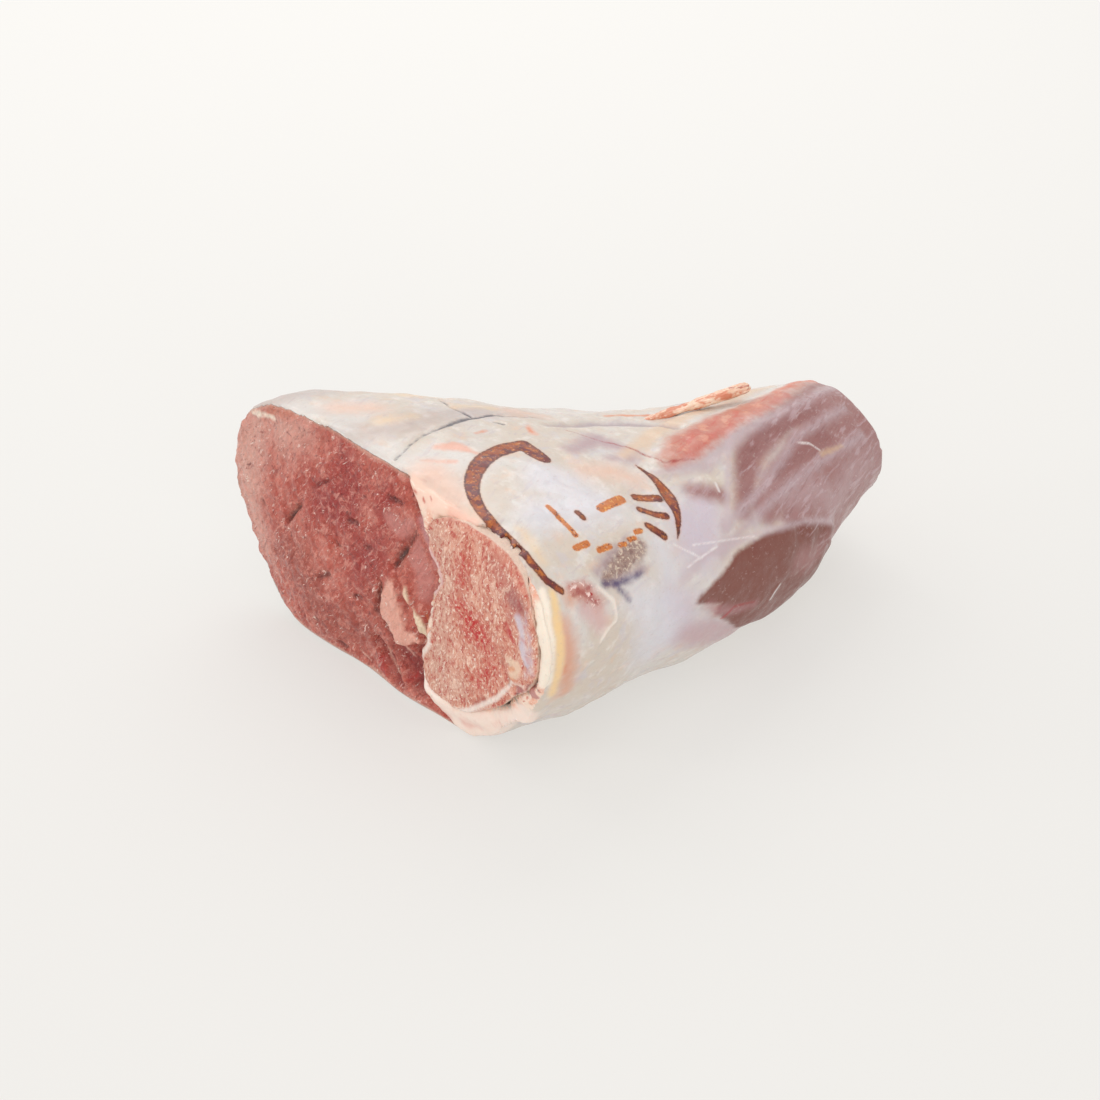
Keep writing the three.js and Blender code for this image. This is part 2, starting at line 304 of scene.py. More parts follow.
FLESH_MARKS = [
    Mark("pale_flesh", tone(224, 176, 162), [
        [(-60.5, 46, 50, 5), (-61, 50, 38, 7), (-61, 49, 26, 5), (-61, 44, 16, 3)],
        [(-61, 36, 53, 5), (-61, 28, 57, 2.5)],
    ], soft=7, wander=3, strength=0.85),
    Mark("red_flesh", tone(158, 46, 38), [
        [(-61, 14, 57, 3), (-61, 10, 52, 5), (-62.5, 14, 45, 7), (-62.5, 20, 43, 5)],
        [(-61, 0, 54, 3), (-62, -1, 44, 3), (-62.5, 5, 36, 5), (-62.5, 8, 28, 3)],
    ], soft=6, wander=3.5, strength=0.85),
    Mark("brown_flesh", tone(158, 88, 78), [
        [(-62, 30, 22, 8), (-61, 20, 10, 7), (-61, 6, 13, 5)],
        [(-61, 2, 24, 3), (-61, -2, 18, 3)],
    ], soft=7, wander=3, strength=0.65),
    Mark("orange_flesh", tone(204, 130, 110), [
        [(-60, 41, 57, 2.4), (-59, 37, 58.8, 2.6), (-59, 32, 60, 1.8)],
    ], soft=1.2, wander=1.0, strength=0.85),
    Mark("white_nick", tone(244, 226, 208), [
        [(-60.3, 47.5, 52.3, 0.8), (-60.5, 43.5, 53.5, 0.6), (-60.5, 39.5, 54.5, 0.4)],
    ], soft=0.5, wander=0.8, strength=0.9, rise=0.3),
    Mark("smooth_flesh", tone(206, 138, 130), [
        [(-61, -3, 48.5, 2.4), (-60.5, -6.5, 48, 2.2), (-60.5, -9, 51, 1.4)],
        [(-61, -11.5, 46, 2), (-61, -11.5, 42, 2.8), (-61.3, -14, 39, 2.4), (-61.3, -13.5, 34, 1.8)],
    ], soft=1.2, wander=0.7, strength=0.75, rise=-0.3),
    Mark("mauve_flesh", tone(204, 150, 150), [
        [(-60.5, -12.5, 53.5, 1), (-60.8, -14, 50, 1.2), (-61.2, -16, 46.5, 1.1), (-61.4, -17.3, 43, 0.8)],
    ], soft=0.9, wander=0.7, strength=0.8),
    # The darker red in these hollows is painted shade; the hollows are also pressed in.
    Mark("hollow_shade", tone(140, 62, 54), [
        [(-61, -5, 13, 2.6), (-60.5, -9, 11, 2.6), (-60.5, -11, 6, 2)],
        [(-61, 3, 12, 1), (-60.5, -1, 9, 1.4), (-60.5, -4, 4, 1.6)],
        [(-61, -11, 15.5, 1.4), (-60.5, -10.5, 18, 0.6)],
    ], soft=1.6, wander=1.3, strength=0.8, rise=-2.0, rise_soft=1.6),
    Mark("bright_flesh", tone(178, 66, 48), [
        [(-60.5, 1.4, 7.5, 1), (-60.5, 0.4, 4.5, 1.2)],
        [(-60.5, -9.5, 8.5, 0.8), (-60.5, -8, 6.5, 0.6)],
    ], soft=0.9, wander=0.9, strength=0.75, rise=0.5),
    Mark("low_streak", tone(230, 178, 160), [
        [(-60.5, 6, 2.5, 0.2), (-60.5, 0, 2, 0.35), (-60.5, -6, 1.5, 0.3)],
        [(-60.5, 2, 11, 0.2), (-60.5, -2, 6.5, 0.3), (-60.5, -6, 4, 0.2)],
        [(-60.5, -3.5, 15, 0.3), (-60.5, -8, 13, 0.2)],
        [(-60.5, 10, 5, 0.2), (-60.5, 6.5, 4.5, 0.3)],
    ], soft=0.4, wander=0.5, strength=0.8, rise=0.4, rise_soft=0.6),
    Mark("flap", tone(238, 178, 160), [
        [(-62, -5, 33.5, 1.4), (-62, -4.3, 28.5, 2.8), (-62, -4.2, 23.5, 3.7), (-61.5, -6.5, 19.5, 2.8),
         (-61, -10, 20, 2)],
    ], soft=0.5, wander=1.0, strength=0.92, rise=1.5, rise_soft=0.8),
    # Pale streaks on the flap's edges: painted highlights.
    Mark("flap_highlight", tone(238, 186, 170), [
        [(-62.5, -2.6, 29, 0.3), (-62, -5, 29.2, 0.35), (-62, -7.5, 29, 0.2)],
        [(-62, -3.4, 34, 0.3), (-62.5, -2.2, 31, 0.3)],
        [(-61, -4.2, 16.8, 0.3), (-61, -8, 17.3, 0.3)],
    ], soft=0.6, wander=0.5, strength=0.75, rise=0.3, rise_soft=0.6),
    Mark("fat_sliver", tone(246, 224, 194), [
        [(-61.5, -8.3, 35.5, 0.3), (-61.5, -9.5, 32, 0.9), (-61.2, -10.5, 30, 0.4)],
        [(-61.2, -11.3, 29.5, 0.5), (-61, -12.2, 26.5, 1.1), (-61, -13, 23.5, 1.2),
         (-61, -14.3, 21.3, 0.4)],
    ], soft=0.35, wander=0.4, strength=0.92, rise=1.2, rise_soft=0.7),
    Mark("sliver_edge", tone(206, 120, 72), [
        [(-61, -13.6, 30, 0.2), (-61, -14.6, 27, 0.35), (-61, -15, 23, 0.3)],
    ], soft=0.35, wander=0.3, strength=0.75),
    # The near-black red in the clefts is painted shade; the clefts are also pressed in.
    Mark("cleft_shade", tone(66, 16, 18), [
        [(-60.5, -10.3, 49.6, 0.1), (-61, -8, 44, 0.5), (-61.5, -6, 40.5, 0.9), (-62, -4.5, 37.3, 0.5)],
        [(-62.5, 0.2, 31, 0.3), (-62.5, 1, 24, 0.4), (-61.5, -1, 18, 0.5), (-61, -3, 15.5, 0.4)],
        [(-63.5, 28, 38, 0.15), (-63.5, 31.5, 33.5, 0.4), (-63, 33.5, 30.5, 0.45)],
        [(-60.6, -10.8, 56, 0.7), (-60.6, -12.3, 55.5, 0.7)],
        [(-61, -15.8, 30, 0.2), (-61, -16, 25, 0.35), (-61, -15.5, 20, 0.4), (-61, -12.8, 17, 0.4)],
    ], soft=0.5, wander=0.5, strength=0.85, rise=-1.8, rise_soft=0.8),
    # The dark red in the pits is painted shade; the pits are also pressed in.
    Mark("pit_shade", tone(104, 34, 34), [
        [(-63, 10.5, 42.5, 0.6), (-63, 7.5, 43.5, 0.4)],
        [(-63, 21, 21.5, 0.5), (-63.5, 17.5, 24, 0.6)],
        [(-63, 9, 22, 0.6), (-63, 7, 22.5, 0.4)],
        [(-60.5, 17, 3.5, 0.6), (-60.5, 14.5, 3.5, 0.5)],
        [(-62.5, 2.5, 21, 0.7), (-62.5, 1, 21, 0.5)],
        [(-63, 4.5, 38, 0.5), (-63, 3, 39, 0.4)],
        [(-60.5, -1.5, 54, 0.5), (-60.5, -5.5, 54.5, 0.5)],
        [(-63.5, 14.5, 34.5, 0.5), (-63.5, 13.5, 34, 0.3)],
        [(-62, 39, 19, 0.5), (-62, 38.5, 19.2, 0.4)],
        [(-62, 43, 31, 0.4), (-62, 42, 30, 0.4)],
        [(-62.5, 23, 45.5, 0.25), (-62.5, 18, 49.5, 0.2)],
        [(-60.5, 24, 7, 0.5), (-60.5, 22.5, 7.5, 0.4)],
    ], soft=0.6, wander=0.4, strength=0.75, rise=-0.9, rise_soft=0.9),
]

# Round the sawn bone, on the bone and on the fat beside it.
RIM_MARKS = [
    Mark("tip_fat", tone(238, 218, 206), [
        [(-60.5, -16, 2, 4), (-60.5, -24, 2, 4.5), (-60.5, -32, 6, 5), (-60.5, -40, 12, 4.5),
         (-60, -46, 17.5, 3.5)],
    ], soft=1.2, wander=1.0, strength=0.9),
    Mark("tip_pink", tone(216, 150, 138), [
        [(-60.5, -26, 4.5, 0.8), (-60.5, -31, 6, 0.6)],
        [(-60.5, -36, 9, 0.5), (-60.5, -40, 13, 0.7)],
        [(-60.5, -19, 3.5, 0.6), (-60.5, -21, 3, 0.5)],
    ], soft=1.4, wander=1.4, strength=0.6),
    Mark("knee_fat", tone(240, 206, 188), [
        [(-60, -8.5, 61, 2), (-60.4, -12, 59.5, 2.6), (-60.4, -17, 60, 2), (-59.5, -28, 60.5, 1.2)],
    ], soft=1.2, wander=0.9, strength=0.9),
    Mark("knee_pink", tone(226, 140, 122), [
        [(-60.6, -22, 60, 0.8), (-60.6, -34, 59, 0.9), (-60.6, -41, 56, 1), (-60.6, -46, 52.5, 1)],
    ], soft=1.6, wander=1.2, strength=0.6),
    Mark("fat_dots", tone(190, 76, 62), [
        [(-60.4, -9.2, 59.6, 0.3), (-60.4, -9.9, 59.2, 0.3)],
        [(-60.4, -12.3, 59, 0.25), (-60.4, -12.8, 58.4, 0.3)],
        [(-60.4, -14.5, 60.4, 0.2), (-60.4, -15, 60, 0.25)],
    ], soft=0.4, wander=0.5, strength=0.85),
    Mark("purple_meat", tone(158, 90, 92), [
        [(-61, -43.5, 49.5, 1.6), (-60.7, -46.5, 48.5, 1.8), (-60.5, -47.5, 47, 1.2)],
    ], soft=1.6, wander=1.2, strength=0.75),
    Mark("cartilage", tone(216, 206, 216), [
        [(-60.5, -48.3, 49, 0.5), (-60.5, -48.5, 45.5, 1.2), (-60.5, -49.8, 43, 1.1),
         (-60.5, -50.3, 39, 1.1),
         (-60.5, -50, 34, 1.2), (-60.5, -48.5, 31.5, 0.8)],
        [(-61.5, -46.3, 45.7, 1.2), (-61.5, -47.6, 42.5, 0.9), (-61.5, -47.8, 38.5, 1.3),
         (-61.5, -49, 35.5, 1.2)],
    ], soft=0.8, wander=0.9, strength=0.85, rise=0.2),
    Mark("cartilage_red", tone(206, 112, 100), [
        [(-61.2, -47.4, 41, 0.4), (-61.2, -48.8, 41, 0.5)],
        [(-61.2, -49, 37, 0.4), (-61, -49.6, 36, 0.4)],
        [(-60.8, -51.3, 38, 0.3), (-60.8, -51.5, 34, 0.35)],
    ], soft=0.7, wander=0.7, strength=0.75),
    Mark("marrow_spot", tone(192, 60, 48), [
        [(-61.5, -42.3, 42, 0.5), (-61.5, -43, 40, 0.9), (-61.5, -44, 38.6, 0.5)],
    ], soft=0.7, wander=0.7, strength=0.9, rise=-0.3),
    Mark("knot", tone(236, 204, 180), [
        [(-61.3, -43.3, 33, 1), (-61.2, -45.8, 33.3, 1.2), (-61.2, -46, 30.8, 1.2),
         (-61.3, -44.2, 29.5, 1)],
    ], soft=0.5, wander=0.7, strength=0.9, rise=0.5),
    Mark("knot_orange", tone(228, 156, 112), [
        [(-61.3, -43.8, 31, 0.5), (-61.3, -45, 31.8, 0.5)],
        [(-61.3, -43.6, 28.4, 0.5), (-61.3, -45.2, 28.6, 0.4)],
    ], soft=0.6, wander=0.8, strength=0.75),
    Mark("low_muscle", tone(184, 124, 120), [
        [(-61.3, -46.2, 26.2, 1.2), (-61.2, -45.9, 23, 1.3)],
        [(-60.6, -49.2, 28.3, 1.4), (-60.4, -50, 26.2, 1.3)],
    ], soft=0.4, wander=0.4, strength=0.9, rise=-0.4),
    Mark("dark_dot", tone(110, 30, 28), [
        [(-60.5, -51.2, 29.6, 0.4), (-60.4, -51.8, 28.6, 0.3)],
        [(-61.4, -42.4, 27.8, 0.2), (-61.4, -43, 25.6, 0.3)],
        [(-60.8, -46.8, 47.6, 0.3), (-60.8, -47.8, 47, 0.4)],
    ], soft=0.4, wander=0.4, strength=0.85, rise=-0.5),
    Mark("bone_white", tone(244, 228, 218), [
        [(-61.5, -16.8, 36, 0.35), (-61.5, -16.8, 32, 0.5), (-61.5, -16, 26, 0.45),
         (-61.5, -15.8, 21.5, 0.6),
         (-60.8, -12.6, 16, 0.8), (-60.8, -12.4, 11.5, 0.95), (-60.8, -14, 8.4, 0.95),
         (-60.8, -17.5, 6.6, 0.8),
         (-61, -22, 6.8, 0.7), (-61.5, -28, 9.5, 0.7), (-61.5, -33, 14, 0.6), (-61.5, -39, 20, 0.6),
         (-61.5, -42, 24, 0.5)],
        [(-61.5, -42, 24, 0.4), (-61.4, -44, 27.4, 0.4), (-61.2, -47.8, 28.2, 0.4),
         (-60.8, -47.9, 24.4, 0.4)],
    ], soft=0.45, wander=0.45, strength=0.92, rise=0.35, rise_soft=0.6),
    Mark("bone_pink_edge", tone(232, 200, 198), [
        [(-60.8, -12, 52, 0.3), (-61.5, -16.4, 49, 0.4), (-61.5, -19.4, 46, 0.45),
         (-61.5, -20.9, 42, 0.4), (-61.5, -18.5, 37.5, 0.3)],
    ], soft=0.5, wander=0.4, strength=0.85, rise=0.2, rise_soft=0.6),
]

BONE_MARKS = [
    Mark("bone_pale", tone(214, 166, 148), [
        [(-61.5, -18, 54, 3), (-61.5, -23, 44, 2.5), (-61.5, -20, 34, 3), (-61.5, -18.5, 24, 4),
         (-61.5, -19, 12, 4),
         (-61.5, -26, 15, 3.5)],
    ], soft=3.5, wander=1.5, strength=0.85),
    Mark("marrow", tone(196, 104, 86), [
        [(-61.5, -27, 38, 2.5), (-61.5, -31, 35, 4), (-61.5, -35, 32, 2.5)],
        [(-61.5, -27, 45, 1.2), (-61.5, -29, 52, 1.4)],
        [(-61.5, -37, 27, 1.5), (-61.5, -32, 20, 1.5)],
    ], soft=3.5, wander=2.5, strength=0.7),
    Mark("mauve_bone", tone(192, 122, 112), [
        [(-61.5, -37, 55, 2), (-61.5, -42, 51, 2.5), (-61.5, -44, 46, 2)],
    ], soft=3, wander=1.6, strength=0.7),
    Mark("bone_hollow", tone(170, 76, 66), [
        [(-61.5, -31, 13.5, 0.6), (-61.5, -34.5, 16.5, 0.8)],
        [(-61.5, -40.5, 35, 0.25), (-61.5, -40.8, 30, 0.2)],
    ], soft=0.9, wander=1.2, strength=0.7, rise=-0.3),
    Mark("compact_bone", tone(238, 222, 204), [
        [(64, -23.5, 33.5, 1.6), (64, -27.5, 29.5, 1.6), (64, -23.5, 25.5, 1.6), (64, -19.5, 29.5, 1.6),
         (64, -23.5, 33.5, 1.6)],
        [(64, -17, 29.5, 2), (64, -23.5, 36, 2), (64, -30, 29.5, 2), (64, -23.5, 23, 2),
         (64, -17, 29.5, 2)],
    ], soft=0.8, wander=0.6, strength=0.9),
    Mark("hock_marrow", tone(206, 128, 96), [
        [(64, -25, 29.5, 3), (64, -22, 29.5, 3)],
    ], soft=0.9, wander=0.8, strength=0.95, rise=-0.9, rise_soft=0.8),
]


def stroke_depth(points, strokes):
    """How deep each point is inside the nearest stroke in mm: negative outside it."""
    deepest = np.full(len(points), -99.0)
    for stroke in strokes:
        for start, end in zip(stroke, stroke[1:]):
            a = np.array(start[:3])
            along = np.array(end[:3]) - a
            share = np.clip((points - a) @ along / max(along @ along, 1e-9), 0, 1)
            nearest = a + share[:, None] * along
            radius = start[3] + share * (end[3] - start[3])
            depth = radius - np.linalg.norm(points - nearest, axis=1)
            deepest = np.maximum(deepest, depth)
    return deepest


def solid_surface(node):
    """The surface of one of the solid model's pieces, to find the nearest places on."""
    return BVHTree.FromObject(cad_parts[node], bpy.context.evaluated_depsgraph_get())


def laid_on(surface, stroke):
    """A thin stroke with more points, each moved onto the nearest skin. A broad one stays as it is."""
    if max(point[3] for point in stroke) >= THIN_STROKE:
        return stroke
    laid = []
    for start, end in zip(stroke, stroke[1:]):
        length = math.dist(start[:3], end[:3])
        steps = math.ceil(length / LAYING_STEP)
        for share in np.arange(steps + 1) / steps:
            point = np.array(start) + (np.array(end) - np.array(start)) * share
            place, _, _, _ = surface.find_nearest(Vector(point[:3]) * MM)
            laid.append((*(place / MM), point[3]))
    return laid


def eased(values, table, reach):
    """A few (place, value) points read as a smooth curve, by averaging them over a reach."""
    places, heights = np.array(table).T
    total = np.zeros(len(values))
    for share in (-1, -0.5, 0, 0.5, 1):
        total += np.interp(values + share * reach, places, heights)
    return total / 5


def smooth_ramp(values, low, high):
    share = np.clip((values - low) / (high - low), 0, 1)
    return share * share * (3 - 2 * share)


def rough_field(points, size, octaves=3, offset=0.0, where=None):
    """Smooth lumps of the given size in mm, from about -1 to 1, the same on every run."""
    shift = Vector((offset, offset * 1.7, -offset))
    field = np.zeros(len(points))
    chosen = range(len(points)) if where is None else np.flatnonzero(where > 0.01)
    for index in chosen:
        field[index] = noise.fractal(Vector(points[index]) / size + shift, 0.8, 2.1, octaves)
    return field


def bundle_field(points, size, where):
    """Rounded bundles of the given width in mm with creases between them, from -0.5 to 0.5."""
    field = np.zeros(len(points))
    for index in np.flatnonzero(where > 0.01):
        nearest, _ = noise.voronoi(Vector(points[index]) / size)
        field[index] = min(nearest[1] - nearest[0], 0.5) * 2 - 0.5
    return field


# ---------------------------------------------------------------- the burnt marks

def seen_from_above(surface, points):
    """A stroke from (x, y, radius) points, laid on the skin under them."""
    stroke = []
    for x, y, radius in points:
        place, _, _, _ = surface.ray_cast(Vector((x, y, 100)) * MM, (0, 0, -1))
        stroke.append((*(place / MM), radius))
    return stroke


def on_ring(angle, share):
    """The (x, y) at an angle, at a share of the ring's size from its middle."""
    turn = math.radians(angle)
    x = RING_MIDDLE[0] + RING_HALF[0] * share * math.cos(turn)
    return x, RING_MIDDLE[1] + RING_HALF[1] * share * math.sin(turn)


def ring_arc(start, end, first_radius, middle_radius, last_radius):
    """A stretch of the ring between two angles, with the stroke's radius at its ends and middle."""
    arc = []
    for share in np.arange(ARC_STEPS + 1) / ARC_STEPS:
        radius = np.interp(share, (0, 0.5, 1), (first_radius, middle_radius, last_radius))
        arc.append((*on_ring(start + (end - start) * share, 1), radius))
    return arc


def dark_ink(surface):
    """The arcs and bars where the mark took best."""
    broad = ring_arc(82, 172, 2.4, 2.0, 1.6)
    tail = [broad[-1], (-57.5, -44, 1.1), (-56.5, -48, 1.0), (-53.5, -50.5, 0.9)]
    hook = [(-30, -19, 1.9), (-30, -16, 2.2), broad[0]]
    strokes = [broad, tail, hook, ring_arc(14, -46, 0.2, 1.9, 0.2)]
    strokes.append([(-36, -37, 0.7), (-36, -39, 0.7)])
    for angle, length, radius in RADIAL_BARS:
        inner = BAR_END - length / RING_HALF[0]
        strokes.append([(*on_ring(angle, inner), radius), (*on_ring(angle, BAR_END), radius)])
    return [seen_from_above(surface, stroke) for stroke in strokes]


def pale_ink(surface):
    """The bars and dashes where it is faint."""
    strokes = [[(-41, -33, 0.7), (-41, -42, 0.7)], [(-30, -38, 1.2), (-23, -37, 1.3)]]
    for angle, length, radius in SMALL_DASHES:
        x, y = on_ring(angle, DASH_SHARE)
        strokes.append([(x - length / 2, y, radius), (x + length / 2, y, radius)])
    return [seen_from_above(surface, stroke) for stroke in strokes]


# ---------------------------------------------------------------- mesh work

def only(piece):
    """Makes a piece the one selected and active object."""
    bpy.ops.object.select_all(action="DESELECT")
    piece.select_set(True)
    bpy.context.view_layer.objects.active = piece


def copy_of_node(node, name):
    """A copy of a solid model's piece, with its loose triangles joined up."""
    piece = bpy.data.objects.new(name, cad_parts[node].data.copy())
    bpy.context.scene.collection.objects.link(piece)
    piece.data.materials.clear()
    only(piece)
    bpy.ops.object.mode_set(mode="EDIT")
    bpy.ops.mesh.select_all(action="SELECT")
    bpy.ops.mesh.remove_doubles(threshold=0.00001)
    bpy.ops.object.mode_set(mode="OBJECT")
    return piece


def finer_skin(piece, voxel, smoothing):
    """Skins a piece with even faces of the voxel's size in mm, and eases the steps out."""
    only(piece)
    remesh = piece.modifiers.new("skin", "REMESH")
    remesh.mode = "VOXEL"
    remesh.voxel_size = voxel * MM
    bpy.ops.object.modifier_apply(modifier="skin")
    smooth = piece.modifiers.new("ease", "SMOOTH")
    smooth.factor = 0.5
    smooth.iterations = smoothing
    bpy.ops.object.modifier_apply(modifier="ease")


def halve_faces(piece, chosen):
    """Splits the chosen faces in two each way."""
    only(piece)
    bpy.ops.object.mode_set(mode="EDIT")
    bpy.ops.mesh.select_mode(type="FACE")
    bpy.ops.mesh.select_all(action="DESELECT")
    bpy.ops.object.mode_set(mode="OBJECT")
    piece.data.polygons.foreach_set("select", chosen)
    bpy.ops.object.mode_set(mode="EDIT")
    bpy.ops.mesh.subdivide(number_cuts=1, smoothness=0.6)
    bpy.ops.object.mode_set(mode="OBJECT")


def points_of(piece):
    flat = np.empty(len(piece.data.vertices) * 3)
    piece.data.vertices.foreach_get("co", flat)
    return flat.reshape(-1, 3) / MM


def normals_of(piece):
    flat = np.empty(len(piece.data.vertices) * 3)
    piece.data.vertices.foreach_get("normal", flat)
    return flat.reshape(-1, 3)


def set_points(piece, points):
    piece.data.vertices.foreach_set("co", (points * MM).ravel())
    piece.data.update()


def store(piece, name, values):
    layer = piece.data.attributes.new(name, "FLOAT", "POINT")
    layer.data.foreach_set("value", values.astype(np.float32))


def store_marks(piece, points, marks, surface=None):
    """Stores how deep each point is in each mark, and gives how far the marks lift it."""
    rise = np.zeros(len(points))
    for mark in marks:
        strokes = [laid_on(surface, stroke) for stroke in mark.strokes] if surface else mark.strokes
        depth = stroke_depth(points, strokes)
        store(piece, mark.name, depth)
        rise += mark.rise * smooth_ramp(depth, -mark.rise_soft, mark.rise_soft * 0.5)
    return rise


# ---------------------------------------------------------------- the knee end

def bone_reach(angles):
    """The reach of the solid model's bone at the knee, at each angle round its middle."""
    half_width = (BONE_HIGH.y - BONE_LOW.y) / 2
    half_height = (BONE_HIGH.z - BONE_LOW.z) / 2
    exponent = 2.15
    c = np.abs(np.cos(angles) / half_width) ** exponent
    s = np.abs(np.sin(angles) / half_height) ** exponent
    return (c + s) ** (-1 / exponent)


def round_bone(points):
    """Each point's distance from the bone's middle, its angle, and the sawn face's reach there."""
    y = points[:, 1] - BONE_MIDDLE[0]
    z = points[:, 2] - BONE_MIDDLE[1]
    angles = np.arctan2(z, y)
    wanted = eased(np.degrees(angles) % 360, BONE_FACE_REACH, 6)
    return np.hypot(y, z), angles, wanted


def shape_bone_head(points, share=1.0):
    """Pulls the bone's round head, and the meat round it, to the real outline of the sawn face."""
    radius, angles, wanted = round_bone(points)
    modelled = bone_reach(angles)
    inside = np.minimum(radius / modelled, 1)
    outside = smooth_ramp(radius - modelled, 14, 0)
    depth = smooth_ramp(points[:, 0], KNEE_X + 16, KNEE_X + 2)
    push = (wanted - modelled) * inside * outside * depth * share
    moved = points.copy()
    moved[:, 1] += np.cos(angles) * push
    moved[:, 2] += np.sin(angles) * push
    moved[:, 2] = np.maximum(moved[:, 2], 0)
    return moved


def set_back(points):
    """How far the top near corner of the sawn face falls back, with the fat round it."""
    upwards = (points[:, 1] - BONE_MIDDLE[0]) * -0.17 + (points[:, 2] - BONE_MIDDLE[1]) * 0.98
    return 1.8 * smooth_ramp(upwards, 15, 27) * smooth_ramp(points[:, 0], KNEE_X + 12, KNEE_X)


def nudged(points):
    moved = points.copy()
    for middle, reach, move in NUDGES:
        away = np.linalg.norm(points - np.array(middle), axis=1)
        moved += smooth_ramp(away, reach, 0)[:, None] * np.array(move)
    moved[:, 2] = np.maximum(moved[:, 2], 0)
    return moved


def face_outline(node_points, x):
    """The outer edge of a cut at x, as (y, z) points in order round it."""
    ring = node_points[np.abs(node_points[:, 0] - x) < 0.05][:, 1:]
    middle = (ring.min(0) + ring.max(0)) / 2
    angles = np.arctan2(*(ring - middle).T[::-1])
    radii = np.linalg.norm(ring - middle, axis=1)
    bins = np.round(angles / (2 * math.pi) * 44).astype(int) % 44
    best = {}
    for index in np.argsort(radii):
        best[bins[index]] = ring[index]
    return np.array([best[key] for key in sorted(best)])


def outline_distance(points, outline):
    """The distance in mm from (y, z) points to a closed outline."""
    nearest = np.full(len(points), 1e9)
    for a, b in zip(outline, np.roll(outline, -1, axis=0)):
        along = b - a
        share = np.clip((points - a) @ along / max(along @ along, 1e-9), 0, 1)
        nearest = np.minimum(nearest, np.linalg.norm(points - a - share[:, None] * along, axis=1))
    return nearest


def cut_depth(points, outline, out_of_cut):
    """In mm, positive on a cut and growing inwards from its edge, negative outside it."""
    on_face = out_of_cut > -0.5
    inward = outline_distance(points[:, 1:], outline)
    return np.where(on_face, inward, out_of_cut)


# ---------------------------------------------------------------- the meat

def in_tunnel(points, normals):
    """1 on the wall of the tunnel that the bone runs in, and 0 elsewhere."""
    tree = solid_surface("shank_bone")
    near = np.zeros(len(points))
    for index, point in enumerate(points):
        _, direction, _, distance = tree.find_nearest(Vector(point) * MM)
        if distance < 0.95 * MM and Vector(normals[index]).dot(direction) < -0.3:
            near[index] = 1
    return near


def skin_faces(piece, tunnel_wall):
    """True for the faces of the show side, leaving out the tunnel."""
    polygons = piece.data.polygons
    flat = np.empty(len(polygons) * 3)
    polygons.foreach_get("normal", flat)
    facing = flat.reshape(-1, 3) @ np.array(SHOW_SIDE) > 0.12
    corner = np.empty(len(polygons), dtype=int)
    piece.data.polygons.foreach_get("loop_start", corner)
    vertex = np.empty(len(piece.data.loops), dtype=int)
    piece.data.loops.foreach_get("vertex_index", vertex)
    return facing & (tunnel_wall[vertex[corner]] < 0.5)


